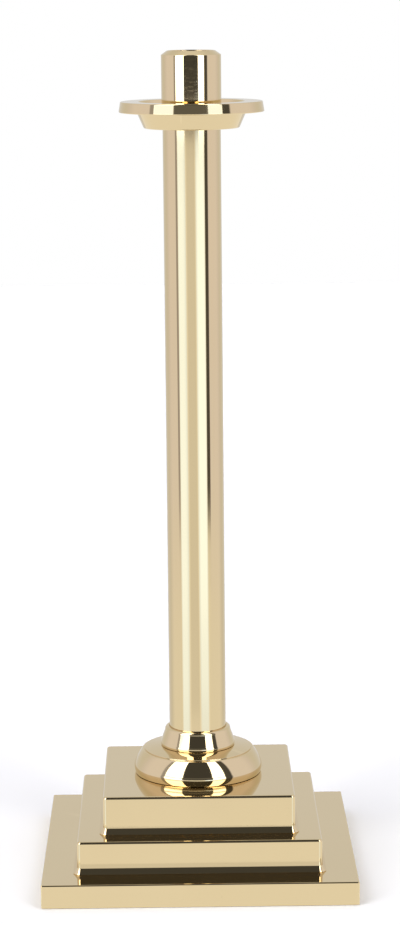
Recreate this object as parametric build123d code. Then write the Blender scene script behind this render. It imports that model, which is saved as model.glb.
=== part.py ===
"""Brass flag pole stand: a stepped square base, a turned collar, a tube column, a pan and a pole socket.

Millimetres, +Z up, origin at the centre of the underside.  Each separate piece of the stand is built by
its own function and written to parts/ under its own name.
"""
from build123d import *
from math import cos, radians, sin
import os

# ---------------------------------------------------------------- driving dimensions: pole and column
total_height = 605.3          # underside of the felt to the mouth of the socket
pole_diameter = 31.75         # the 1 1/4 in pole that the stand takes
pole_clearance = 0.375        # radial, pole to socket
spigot_wall = 2.3             # socket spigot inside the column
running_clearance = 0.05      # radial, spigot to column
tube_wall = 2.5               # column tube
fit_gap = 0.05                # radial, pieces pushed or brazed together
seat_gap = 0.05               # between flat faces of pieces that lift apart
lift_clearance = 0.3          # radial, where the pan passes over spigot and tube end

# ---------------------------------------------------------------- driving dimensions: base tiers
base_width = 228.6
base_height = 17.6            # top of the lowest tier
base_stand_off = 0.5          # tier edge above the floor
base_corner = 0.8
base_top_round = 1.2
base_wall = 9.0
rebate_wall = 5.0             # rim outside the cover rebate
middle_width = 178.0
middle_height = 23.9
upper_width = 140.3
upper_height = 27.8
tier_corner = 2.8             # vertical corners of the two upper tiers
tier_top_round = 1.8
tier_wall = 7.0
deck_thickness = 5.5
foot_flare = 2.8              # splayed foot of a tier: outwards
foot_flare_height = 4.1       # splayed foot of a tier: upwards
foot_flare_lip = 0.45
foot_lean = 0.13              # slight lean of the wall above the splay: outwards
foot_lean_height = 7.0        # where the lean starts, above the bottom of the tier
access_hole_radius = 40.0     # hole in the lowest deck, for reaching the nut
boss_radius = 7.0
boss_wall_overlap = 2.0       # how far a corner boss runs into the wall

# ---------------------------------------------------------------- driving dimensions: underside
felt_thickness = 1.8
felt_margin = 0.6
cover_thickness = 2.0
cover_margin = 0.3

# ---------------------------------------------------------------- driving dimensions: ballast and tie
ballast_margin = 1.5          # iron to the walls, bosses and deck
stud_radius = 6.0
stud_hole_clearance = 0.5
stud_end = 6.0                # lower end of the stud above the floor
stud_engagement = 22.0        # length of stud inside the column plug
nut_across_flats = 18.0
nut_height = 10.0
washer_radius = 15.0
washer_thickness = 2.5
spring_washer_radius = 10.5
spring_washer_thickness = 3.0
spring_washer_split = 2.5
nut_pocket_margin = 2.0       # radial, washer to the pocket in the ballast
nut_pocket_depth = 7.0

# ---------------------------------------------------------------- driving dimensions: screws and pins
base_screw_radius = 2.5
base_screw_length = 15.0
cover_screw_radius = 2.0
cover_screw_length = 7.0
screw_head_ratio = 2.0        # head radius to shank radius
screw_slot_width = 1.2
screw_slot_depth = 0.9
dowel_radius = 2.5
dowel_length = 9.0
dowel_circle = 33.0
pin_radius = 2.0
pin_depth = 8.0               # pin inside the plug
pin_recess = 0.4              # pin end below the outside of the tube
pin_height = 6.0              # pins above the end of the tube

# ---------------------------------------------------------------- driving dimensions: collar and ferrule
collar_height = 20.5          # seat on the base to the top of the shoulder
collar_foot_radius = 46.8
collar_bulge_radius = 47.8
collar_bulge_height = 4.7     # widest place above the seat
collar_bulge_round = 8.0      # radius of the turn above the widest place
collar_bulge_lean = 19.0      # degrees, where that turn runs into the flank
collar_rim_radius = 41.3      # top edge of the flank
collar_rim_height = 18.0
collar_step_radius = 40.0     # foot of the shoulder, stepped in from that edge
collar_step_drop = 0.25       # fall of the ledge from the flank's edge to the step
collar_step_height = 0.7      # step above the flank's edge
collar_floor = 6.0
ferrule_foot_width = 6.2      # ferrule on the collar, outside the tube
ferrule_wide_width = 6.8      # ferrule at its widest, outside the tube
ferrule_wide_height = 2.1     # widest place above the collar
ferrule_height = 14.6
ferrule_lip_width = 3.3       # ferrule under its lip, outside the tube
ferrule_lip_drop = 2.6
ferrule_mouth_width = 1.1
ferrule_spigot_width = 3.6
ferrule_spigot_depth = 5.0

# ---------------------------------------------------------------- driving dimensions: inside the column
plug_height = 30.0
cup_height = 40.0
cup_floor = 4.0
cup_clearance = 0.7           # radial, pole to cup
cup_edge_chamfer = 0.5
rest_pad_thickness = 4.0
rest_pad_margin = 0.4

# ---------------------------------------------------------------- driving dimensions: pan
pan_floor = 5.0
pan_seat_depth = 1.5          # tube end let into the pan
pan_foot_radius = 34.6
pan_foot_round = 1.6
pan_bowl_radius = 39.7        # outside of the bowl at the lower edge of the rim band
pan_height = 19.3             # underside to the top of the rim
pan_rim_bottom_radius = 52.8
pan_rim_top_radius = 51.55
pan_rim_depth = 7.7           # height of the rim band
pan_rim_wall = 3.0
pan_rim_round = 0.7
pan_dish_radius = 38.6        # mouth of the dish in the rim
pan_dish_floor_radius = 31.5
pan_dish_round = 3.0

# ---------------------------------------------------------------- driving dimensions: socket
socket_wall = 5.45
socket_body_height = 49.55    # shoulder on its washer to the mouth
socket_chamfer_width = 4.3
socket_chamfer_height = 3.0
socket_mouth_chamfer = 0.5
socket_washer_thickness = 1.0
socket_washer_inset = 0.5     # washer edge inside the socket's
spigot_length = 42.0          # below the shoulder

# ---------------------------------------------------------------- worked out: radii
pole_bore_radius = pole_diameter / 2 + pole_clearance
spigot_radius = pole_bore_radius + spigot_wall
tube_inner_radius = spigot_radius + running_clearance
tube_radius = tube_inner_radius + tube_wall
socket_radius = pole_bore_radius + socket_wall
cup_bore_radius = pole_diameter / 2 + cup_clearance
cup_radius = tube_inner_radius - fit_gap
collar_bore_radius = tube_radius + fit_gap
stud_hole_radius = stud_radius + stud_hole_clearance
stud_thread_radius = stud_radius + fit_gap
ferrule_spigot_radius = tube_radius + ferrule_spigot_width

# ---------------------------------------------------------------- worked out: heights
base_deck_bottom = base_height - deck_thickness
middle_top = base_height + middle_height
middle_deck_bottom = middle_top - deck_thickness
upper_top = middle_top + upper_height
upper_deck_bottom = upper_top - deck_thickness
cover_bottom = felt_thickness
cover_top = cover_bottom + cover_thickness
tube_bottom = upper_top + collar_floor
collar_top = upper_top + collar_height
plug_top = tube_bottom + plug_height
pad_bottom = plug_top + cup_floor
socket_shoulder = total_height - socket_body_height
spigot_bottom = socket_shoulder - spigot_length
pan_floor_top = socket_shoulder - seat_gap - socket_washer_thickness
pan_bottom = pan_floor_top - pan_floor
pan_top = pan_bottom + pan_height
pan_rim_bottom = pan_top - pan_rim_depth
tube_top = pan_bottom + pan_seat_depth - seat_gap
lower_ballast_bottom = base_height + ballast_margin
nut_pocket_top = lower_ballast_bottom + nut_pocket_depth
washer_bottom = nut_pocket_top - washer_thickness
spring_washer_bottom = washer_bottom - spring_washer_thickness
nut_bottom = spring_washer_bottom - nut_height

# ---------------------------------------------------------------- worked out: places in the base
base_inner_half = base_width / 2 - base_wall
rebate_half = base_width / 2 - rebate_wall
middle_inner_half = middle_width / 2 - tier_wall
upper_inner_half = upper_width / 2 - tier_wall
boss_inset = boss_radius - boss_wall_overlap
base_boss_at = base_inner_half - boss_inset
middle_boss_at = middle_inner_half - boss_inset
upper_boss_at = upper_inner_half - boss_inset


# ================================================================ helpers
def turned(outline):
    """A solid of revolution about Z from a closed outline of lines and arcs in (radius, height)."""
    return revolve(make_face(Plane.XZ * outline), Axis.Z)


def ring(inner_radius, outer_radius, bottom, top):
    """A plain ring or tube about Z."""
    return Pos(0, 0, bottom) * extrude(Circle(outer_radius) - Circle(inner_radius), top - bottom)


def disc(radius, bottom, top):
    """A plain round plug about Z."""
    return Pos(0, 0, bottom) * extrude(Circle(radius), top - bottom)


def square_block(half, bottom, top, corner=0.0):
    """A square block about Z, with rounded vertical corners if a corner radius is given."""
    if corner:
        outline = RectangleRounded(2 * half, 2 * half, corner)
    else:
        outline = Rectangle(2 * half, 2 * half)
    return Pos(0, 0, bottom) * extrude(outline, top - bottom)


def at_corners(shape, distance):
    """Four copies of a shape, one at each corner of a square of the given half side."""
    return [Pos(x * distance, y * distance, 0) * shape for x in (-1, 1) for y in (-1, 1)]


def round_top(body, top, radius):
    """Round the outer edges of a body's top face."""
    edges = body.edges().filter_by_position(Axis.Z, top - 0.01, top + 0.01)
    return fillet(edges, radius)


def countersunk_screw(shank_radius, length, head_bottom):
    """A slotted countersunk screw, head down, with its head face at the given height."""
    head_radius = shank_radius * screw_head_ratio
    head_height = head_radius - shank_radius
    outline = Polyline(
        (0, head_bottom),
        (head_radius, head_bottom),
        (shank_radius, head_bottom + head_height),
        (shank_radius, head_bottom + length),
        (0, head_bottom + length),
        close=True,
    )
    slot = Pos(0, 0, head_bottom) * Box(4 * head_radius, screw_slot_width, 2 * screw_slot_depth)
    return turned(outline) - slot


def countersunk_hole(shank_radius, length, head_bottom):
    """The space that such a screw fills, with a fit gap all round."""
    radius = shank_radius + fit_gap
    head_radius = shank_radius * screw_head_ratio + fit_gap
    head_height = head_radius - radius
    outline = Polyline(
        (0, head_bottom - 1),
        (head_radius, head_bottom - 1),
        (head_radius, head_bottom),
        (radius, head_bottom + head_height),
        (radius, head_bottom + length + fit_gap),
        (0, head_bottom + length + fit_gap),
        close=True,
    )
    return turned(outline)


def splayed_foot(width, bottom):
    """The splay that runs round the foot of a tier, with a slight lean of the wall above it."""
    half = width / 2
    path = Pos(0, 0, bottom) * RectangleRounded(width, width, tier_corner).wire()
    inner = half - tier_corner / 2
    profile = Polyline(
        (half, bottom + foot_lean_height),
        (inner, bottom + foot_lean_height),
        (inner, bottom),
        (half + foot_flare, bottom),
        (half + foot_flare, bottom + foot_flare_lip),
        (half + foot_lean, bottom + foot_flare_height),
        close=True,
    )
    face = make_face(Plane.XZ * profile)
    return sweep(face, path=path, transition=Transition.ROUND)


def hollow_tier(width, bottom, top, boss_at):
    """A cast tier: deck, walls, corner bosses and the splay at its foot."""
    body = round_top(square_block(width / 2, bottom, top, tier_corner), top, tier_top_round)
    body += splayed_foot(width, bottom)
    body -= square_block(width / 2 - tier_wall, bottom, top - deck_thickness)
    return body + at_corners(disc(boss_radius, bottom, top - deck_thickness), boss_at)


def base_screw_holes():
    """Holes for the screws from the lowest tier into the middle one."""
    hole = countersunk_hole(base_screw_radius, base_screw_length, base_deck_bottom)
    return at_corners(hole, middle_boss_at)


def middle_screw_holes():
    """Holes for the screws from the middle tier into the upper one."""
    hole = countersunk_hole(base_screw_radius, base_screw_length, middle_deck_bottom)
    return at_corners(hole, upper_boss_at)


def cover_screw_holes():
    """Holes for the screws that hold the cover plate."""
    hole = countersunk_hole(cover_screw_radius, cover_screw_length, cover_bottom)
    return at_corners(hole, base_boss_at)


# ================================================================ base
def make_base_plinth():
    """Lowest tier: a square plate with a rim below, bosses for the cover and a hole to reach the nut."""
    body = square_block(base_width / 2, base_stand_off, base_height, base_corner)
    body = round_top(body, base_height, base_top_round)
    body -= square_block(base_inner_half, base_stand_off, base_deck_bottom)
    body += at_corners(disc(boss_radius, cover_top, base_deck_bottom), base_boss_at)
    body -= square_block(rebate_half, 0, cover_top)
    body -= disc(access_hole_radius, base_deck_bottom, base_height)
    return body - base_screw_holes() - cover_screw_holes()


def make_middle_plinth():
    """Middle tier."""
    body = hollow_tier(middle_width, base_height, middle_top, middle_boss_at)
    body -= disc(stud_hole_radius, middle_deck_bottom, middle_top)
    return body - base_screw_holes() - middle_screw_holes()


def make_upper_plinth():
    """Upper tier, which carries the collar."""
    body = hollow_tier(upper_width, middle_top, upper_top, upper_boss_at)
    body -= disc(stud_hole_radius, upper_deck_bottom, upper_top)
    return body - middle_screw_holes() - dowel_holes()


def ballast_block(inner_half, boss_at, bottom, top):
    """A square iron block with its corners cut back round the bosses."""
    block = square_block(inner_half - ballast_margin, bottom, top)
    block -= at_corners(disc(boss_radius + ballast_margin, bottom, top), boss_at)
    block -= at_corners(square_block(boss_radius, bottom, top), boss_at + boss_radius)
    return block - disc(stud_hole_radius, bottom, top)


def make_lower_ballast():
    """Iron weight in the middle tier, with a pocket below for the nut."""
    block = ballast_block(middle_inner_half, middle_boss_at, lower_ballast_bottom, middle_deck_bottom)
    return block - disc(washer_radius + nut_pocket_margin, lower_ballast_bottom, nut_pocket_top)


def make_upper_ballast():
    """Iron weight in the upper tier, standing on the deck of the middle tier."""
    return ballast_block(upper_inner_half, upper_boss_at, middle_top, upper_deck_bottom - ballast_margin)


def make_base_screws():
    """Four screws up through the lowest deck into the middle tier."""
    screw = countersunk_screw(base_screw_radius, base_screw_length, base_deck_bottom)
    return Compound(children=at_corners(screw, middle_boss_at))


def make_middle_screws():
    """Four screws up through the middle deck into the upper tier."""
    screw = countersunk_screw(base_screw_radius, base_screw_length, middle_deck_bottom)
    return Compound(children=at_corners(screw, upper_boss_at))


def make_base_cover():
    """Steel plate in the rebate of the underside."""
    plate = square_block(rebate_half - cover_margin, cover_bottom, cover_top)
    return plate - cover_screw_holes()


def make_cover_screws():
    """Four screws that hold the cover plate."""
    screw = countersunk_screw(cover_screw_radius, cover_screw_length, cover_bottom)
    return Compound(children=at_corners(screw, base_boss_at))


def make_base_felt():
    """Felt glued under the cover plate, which the stand rests on."""
    return square_block(rebate_half - felt_margin, 0, felt_thickness)


# ================================================================ tie that holds the column down
def make_tie_stud():
    """Threaded stud from the column plug down through both upper tiers."""
    return disc(stud_radius, stud_end, tube_bottom + stud_engagement)


def make_tie_washer():
    """Broad washer against the ballast."""
    return ring(stud_hole_radius, washer_radius, washer_bottom, nut_pocket_top)


def make_spring_washer():
    """Split washer between the nut and the broad washer."""
    washer = ring(stud_hole_radius, spring_washer_radius, spring_washer_bottom, washer_bottom)
    split = Box(2 * spring_washer_radius, spring_washer_split, 4 * spring_washer_thickness)
    return washer - Pos(spring_washer_radius, 0, spring_washer_bottom) * split


def make_tie_nut():
    """Hexagon nut."""
    hexagon = RegularPolygon(nut_across_flats / 2, 6, major_radius=False)
    nut = Pos(0, 0, nut_bottom) * extrude(hexagon, nut_height)
    return nut - disc(stud_thread_radius, nut_bottom, spring_washer_bottom)


# ================================================================ collar and ferrule
def dowel_holes():
    """The two holes that the collar's dowels sit in."""
    middle = upper_top
    reach = dowel_length / 2 + fit_gap
    hole = disc(dowel_radius + fit_gap, middle - reach, middle + reach)
    return [Pos(0, y * dowel_circle, 0) * hole for y in (-1, 1)]


def make_collar_dowels():
    """Two pins that stop the collar turning on the base."""
    pin = disc(dowel_radius, upper_top - dowel_length / 2, upper_top + dowel_length / 2)
    return Compound(children=[Pos(0, y * dowel_circle, 0) * pin for y in (-1, 1)])


def make_foot_collar():
    """Turned collar: a tucked-in foot, a leaning flank, a small step, and a shoulder up to the ferrule."""
    lean_sin = sin(radians(collar_bulge_lean))
    lean_cos = cos(radians(collar_bulge_lean))
    foot = (collar_foot_radius, upper_top)
    bulge = (collar_bulge_radius, upper_top + collar_bulge_height)
    flank = (bulge[0] - collar_bulge_round * (1 - lean_cos), bulge[1] + collar_bulge_round * lean_sin)
    rim = (collar_rim_radius, upper_top + collar_rim_height)
    outline = TangentArc(bulge, foot, tangent=(0, -1))
    outline += TangentArc(bulge, flank, tangent=(0, 1))
    outline += TangentArc(flank, rim, tangent=(-lean_sin, lean_cos))
    outline += Polyline(
        rim,
        (collar_step_radius, rim[1] - collar_step_drop),
        (collar_step_radius, rim[1] + collar_step_height),
        (tube_radius + ferrule_wide_width, collar_top),
        (ferrule_spigot_radius + fit_gap, collar_top),
        (ferrule_spigot_radius + fit_gap, collar_top - ferrule_spigot_depth),
        (collar_bore_radius, collar_top - ferrule_spigot_depth),
        (collar_bore_radius, tube_bottom),
        (stud_hole_radius, tube_bottom),
        (stud_hole_radius, upper_top),
        foot,
    )
    return turned(outline) - dowel_holes()


def make_column_ferrule():
    """Tapered ferrule round the foot of the column, let into the collar."""
    lip_radius = tube_radius + ferrule_lip_width
    mouth_radius = tube_radius + ferrule_mouth_width
    top = collar_top + ferrule_height
    lip = (lip_radius, top - ferrule_lip_drop)
    mouth = (mouth_radius, top)
    outline = TangentArc(mouth, lip, tangent=(1, 0))
    outline += Polyline(
        lip,
        (tube_radius + ferrule_wide_width, collar_top + ferrule_wide_height),
        (tube_radius + ferrule_foot_width, collar_top),
        (ferrule_spigot_radius, collar_top),
        (ferrule_spigot_radius, collar_top - ferrule_spigot_depth),
        (collar_bore_radius, collar_top - ferrule_spigot_depth),
        (collar_bore_radius, top),
        mouth,
    )
    return turned(outline)


# ================================================================ column and what is inside it
def cross_pins(radius, outer):
    """Two level pins through the tube wall into the plug, one each side."""
    height = tube_bottom + pin_height
    inner = tube_inner_radius - pin_depth
    pin = Plane.YZ.offset(inner) * extrude(Circle(radius), outer - inner)
    pin = Pos(0, 0, height) * pin
    return [pin, Rot(0, 0, 180) * pin]


def make_column_tube():
    """Drawn tube."""
    tube = ring(tube_inner_radius, tube_radius, tube_bottom, tube_top)
    return tube - cross_pins(pin_radius + fit_gap, tube_radius + 1)


def make_column_plug():
    """Steel plug brazed into the foot of the tube and tapped for the stud."""
    plug = disc(tube_inner_radius - fit_gap, tube_bottom, plug_top)
    plug -= disc(stud_thread_radius, tube_bottom, tube_bottom + stud_engagement + fit_gap)
    return plug - cross_pins(pin_radius + fit_gap, tube_radius + 1)


def make_plug_pins():
    """Two pins through tube and plug, covered by the collar."""
    return Compound(children=cross_pins(pin_radius, tube_radius - pin_recess))


def make_pole_cup():
    """Cup that centres the foot of the pole inside the column."""
    cup = disc(cup_radius, plug_top, plug_top + cup_height)
    cup = chamfer(cup.edges().group_by(Axis.Z)[-1], cup_edge_chamfer)
    return cup - disc(cup_bore_radius, pad_bottom, plug_top + cup_height)


def make_rest_pad():
    """Rubber disc under the foot of the pole."""
    return disc(cup_bore_radius - rest_pad_margin, pad_bottom, pad_bottom + rest_pad_thickness)


# ================================================================ pan and socket
def make_drip_pan():
    """Pan: flared bowl, flat rim with a turned-down band, and a dish that the socket stands in."""
    hole = spigot_radius + lift_clearance
    seat = tube_radius + lift_clearance
    lean = (pan_bowl_radius - pan_foot_radius) / (pan_height - pan_rim_depth)
    rim_under = pan_top - pan_rim_wall
    bowl_under_rim = pan_foot_radius + lean * (rim_under - pan_bottom)
    outline = Polyline(
        (hole, pan_floor_top),
        (pan_dish_floor_radius, pan_floor_top),
        (pan_dish_radius, pan_top),
        (pan_rim_top_radius, pan_top),
        (pan_rim_bottom_radius, pan_rim_bottom),
        (pan_rim_bottom_radius - pan_rim_wall, pan_rim_bottom),
        (pan_rim_top_radius - pan_rim_wall, rim_under),
        (bowl_under_rim, rim_under),
        (pan_foot_radius, pan_bottom),
        (seat, pan_bottom),
        (seat, pan_bottom + pan_seat_depth),
        (hole, pan_bottom + pan_seat_depth),
        close=True,
    )
    face = make_face(Plane.XZ * outline)

    def corner(radius, height):
        """The corner of the section at a radius and height."""
        return face.vertices().sort_by_distance((radius, 0, height))[0]

    face = fillet(corner(pan_foot_radius, pan_bottom), pan_foot_round)
    face = fillet(corner(pan_dish_floor_radius, pan_floor_top), pan_dish_round)
    for radius, height in (
        (pan_dish_radius, pan_top),
        (pan_rim_top_radius, pan_top),
        (pan_rim_bottom_radius, pan_rim_bottom),
        (pan_rim_bottom_radius - pan_rim_wall, pan_rim_bottom),
    ):
        face = fillet(corner(radius, height), pan_rim_round)
    return revolve(face, Axis.Z)


def make_socket_washer():
    """Leather washer between the pan and the socket."""
    top = socket_shoulder - seat_gap
    return ring(spigot_radius + lift_clearance, socket_radius - socket_washer_inset, pan_floor_top, top)


def make_pole_socket():
    """Turned socket with a chamfered mouth and a spigot that drops into the column."""
    outline = Polyline(
        (pole_bore_radius, spigot_bottom),
        (spigot_radius, spigot_bottom),
        (spigot_radius, socket_shoulder),
        (socket_radius, socket_shoulder),
        (socket_radius, total_height - socket_chamfer_height),
        (socket_radius - socket_chamfer_width, total_height),
        (pole_bore_radius + socket_mouth_chamfer, total_height),
        (pole_bore_radius, total_height - socket_mouth_chamfer),
        close=True,
    )
    return turned(outline)


# ================================================================ write the pieces
pieces = {
    "base_plinth": make_base_plinth,
    "middle_plinth": make_middle_plinth,
    "upper_plinth": make_upper_plinth,
    "lower_ballast": make_lower_ballast,
    "upper_ballast": make_upper_ballast,
    "base_screws": make_base_screws,
    "middle_screws": make_middle_screws,
    "base_cover": make_base_cover,
    "cover_screws": make_cover_screws,
    "base_felt": make_base_felt,
    "tie_stud": make_tie_stud,
    "tie_washer": make_tie_washer,
    "spring_washer": make_spring_washer,
    "tie_nut": make_tie_nut,
    "foot_collar": make_foot_collar,
    "collar_dowels": make_collar_dowels,
    "column_ferrule": make_column_ferrule,
    "column_tube": make_column_tube,
    "column_plug": make_column_plug,
    "plug_pins": make_plug_pins,
    "pole_cup": make_pole_cup,
    "rest_pad": make_rest_pad,
    "drip_pan": make_drip_pan,
    "socket_washer": make_socket_washer,
    "pole_socket": make_pole_socket,
}

os.makedirs("parts", exist_ok=True)
for name, make in pieces.items():
    export_step(make(), f"parts/{name}.step")
    print("written", name)
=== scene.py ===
"""Looks of a brass flag pole stand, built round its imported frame.

Metres, +Z up.  Each sub-assembly is a class that reads its sizes from the frame, builds its meshes and
dresses them.  The finishes, the floor, the light and the camera have classes of their own.
"""

import logging
import math
from dataclasses import dataclass, field
from enum import Enum
from typing import Iterable, Optional, Sequence, Union

import bpy
from mathutils import Matrix, Vector

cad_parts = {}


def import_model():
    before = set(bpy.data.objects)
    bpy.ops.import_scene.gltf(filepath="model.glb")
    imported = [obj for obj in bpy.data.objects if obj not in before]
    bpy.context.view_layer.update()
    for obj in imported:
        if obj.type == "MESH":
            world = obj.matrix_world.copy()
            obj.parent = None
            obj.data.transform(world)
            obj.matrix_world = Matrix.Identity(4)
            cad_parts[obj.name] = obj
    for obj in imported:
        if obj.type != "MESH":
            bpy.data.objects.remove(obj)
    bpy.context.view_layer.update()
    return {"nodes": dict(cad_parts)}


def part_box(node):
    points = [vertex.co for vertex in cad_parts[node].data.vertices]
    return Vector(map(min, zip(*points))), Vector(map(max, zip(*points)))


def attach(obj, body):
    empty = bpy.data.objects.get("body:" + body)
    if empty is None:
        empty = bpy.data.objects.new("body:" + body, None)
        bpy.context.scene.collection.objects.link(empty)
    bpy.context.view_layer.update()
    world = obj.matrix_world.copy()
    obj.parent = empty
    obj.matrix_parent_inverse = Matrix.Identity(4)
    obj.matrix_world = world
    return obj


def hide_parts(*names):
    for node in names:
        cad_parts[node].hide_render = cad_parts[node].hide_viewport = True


LOG = logging.getLogger("stand")
MM = 0.001
Number = Union[float, bpy.types.NodeSocket]
Colour = tuple[float, float, float]
Fade = tuple[float, float]
PLAIN: Colour = (1.0, 1.0, 1.0)
BARE_EDGE = 0.3 * MM


# ---------------------------------------------------------------- nodes
class Wires:
    """Short calls for adding nodes to one tree and joining them."""

    def __init__(self, tree: bpy.types.NodeTree) -> None:
        """Keep the tree that the nodes go into."""
        self.tree = tree

    def add(self, kind: str, **settings: object) -> bpy.types.Node:
        """Add a node.

        Args:
            kind: the node's type name.
            settings: attributes to set on it.

        Returns:
            The new node.
        """
        node = self.tree.nodes.new(kind)
        for name, value in settings.items():
            setattr(node, name, value)
        return node

    def plug(self, socket: bpy.types.NodeSocket, value: object) -> None:
        """Join a socket to another, or set it to a plain value.

        Args:
            socket: the input to fill.
            value: an output socket, a number, a colour or a vector.
        """
        if isinstance(value, bpy.types.NodeSocket):
            self.tree.links.new(value, socket)
        else:
            socket.default_value = value

    def math(self, operation: str, *inputs: Number) -> bpy.types.NodeSocket:
        """Work out a number from others.

        Args:
            operation: the Math node's operation.
            inputs: numbers or sockets.

        Returns:
            The result's socket.
        """
        node = self.add("ShaderNodeMath", operation=operation)
        for socket, value in zip(node.inputs, inputs):
            self.plug(socket, value)
        return node.outputs[0]

    def rise(self, value: Number, low: Number, high: Number) -> bpy.types.NodeSocket:
        """A smooth step.

        Args:
            value: what is measured.
            low: where the step starts from 0.
            high: where the step reaches 1.

        Returns:
            A socket from 0 to 1.
        """
        node = self.add("ShaderNodeMapRange", interpolation_type="SMOOTHSTEP", clamp=True)
        for name, part in (("Value", value), ("From Min", low), ("From Max", high)):
            self.plug(node.inputs[name], part)
        return node.outputs["Result"]

    def spread(self, value: Number, low: float, high: float) -> bpy.types.NodeSocket:
        """Turn a share from 0 to 1 into a number between two others.

        Args:
            value: the share.
            low: the number at 0.
            high: the number at 1.

        Returns:
            The number's socket.
        """
        return self.math("MULTIPLY_ADD", value, high - low, low)

    def window(
        self, value: Number, low: float, high: float, soft_low: float, soft_high: float
    ) -> bpy.types.NodeSocket:
        """A band with soft edges.

        Args:
            value: what is measured.
            low: the middle of the lower edge.
            high: the middle of the upper edge.
            soft_low: half the width of the lower edge.
            soft_high: half the width of the upper edge.

        Returns:
            A socket that is 1 inside the band and 0 outside.
        """
        up = self.rise(value, low - soft_low, low + soft_low)
        down = self.rise(value, high - soft_high, high + soft_high)
        return self.math("MULTIPLY", up, self.math("SUBTRACT", 1.0, down))

    def blend(self, share: Number, first: object, second: object) -> bpy.types.NodeSocket:
        """Mix two colours.

        Args:
            share: how much of the second colour shows.
            first: a colour or socket.
            second: a colour or socket.

        Returns:
            The mixed colour's socket.
        """
        node = self.add("ShaderNodeMix", data_type="RGBA")
        self.plug(node.inputs["Factor"], share)
        self.plug(node.inputs["A"], (*first, 1.0) if isinstance(first, tuple) else first)
        self.plug(node.inputs["B"], (*second, 1.0) if isinstance(second, tuple) else second)
        return node.outputs["Result"]

    def noise(self, place: bpy.types.NodeSocket, scale: Number, detail: float = 2.0) -> bpy.types.NodeSocket:
        """Soft random variation.

        Args:
            place: coordinates.
            scale: features per metre.
            detail: octaves.

        Returns:
            A socket from 0 to 1.
        """
        node = self.add("ShaderNodeTexNoise")
        self.plug(node.inputs["Vector"], place)
        self.plug(node.inputs["Scale"], scale)
        node.inputs["Detail"].default_value = detail
        return node.outputs["Fac"]

    def group(self, tree: bpy.types.NodeTree, **values: object) -> bpy.types.Node:
        """Place a node group.

        Args:
            tree: the group's tree.
            values: inputs by name, with underscores for spaces.

        Returns:
            The group node.
        """
        node = self.add("ShaderNodeGroup")
        node.node_tree = tree
        for name, value in values.items():
            self.plug(node.inputs[name.replace("_", " ")], value)
        return node


def new_group(
    name: str, inputs: dict[str, tuple[str, object]], outputs: Sequence[str]
) -> tuple[bpy.types.NodeTree, Wires, bpy.types.Node, bpy.types.Node]:
    """Start a shader node group.

    Args:
        name: the group's name.
        inputs: socket type and default value by socket name.
        outputs: names of the number outputs.

    Returns:
        The tree, its wires, the input node and the output node.
    """
    tree = bpy.data.node_groups.new(name, "ShaderNodeTree")
    for label, (kind, value) in inputs.items():
        socket = tree.interface.new_socket(label, in_out="INPUT", socket_type=kind)
        if value is not None:
            socket.default_value = value
    for label in outputs:
        tree.interface.new_socket(label, in_out="OUTPUT", socket_type="NodeSocketFloat")
    wires = Wires(tree)
    return tree, wires, wires.add("NodeGroupInput"), wires.add("NodeGroupOutput")


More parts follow.
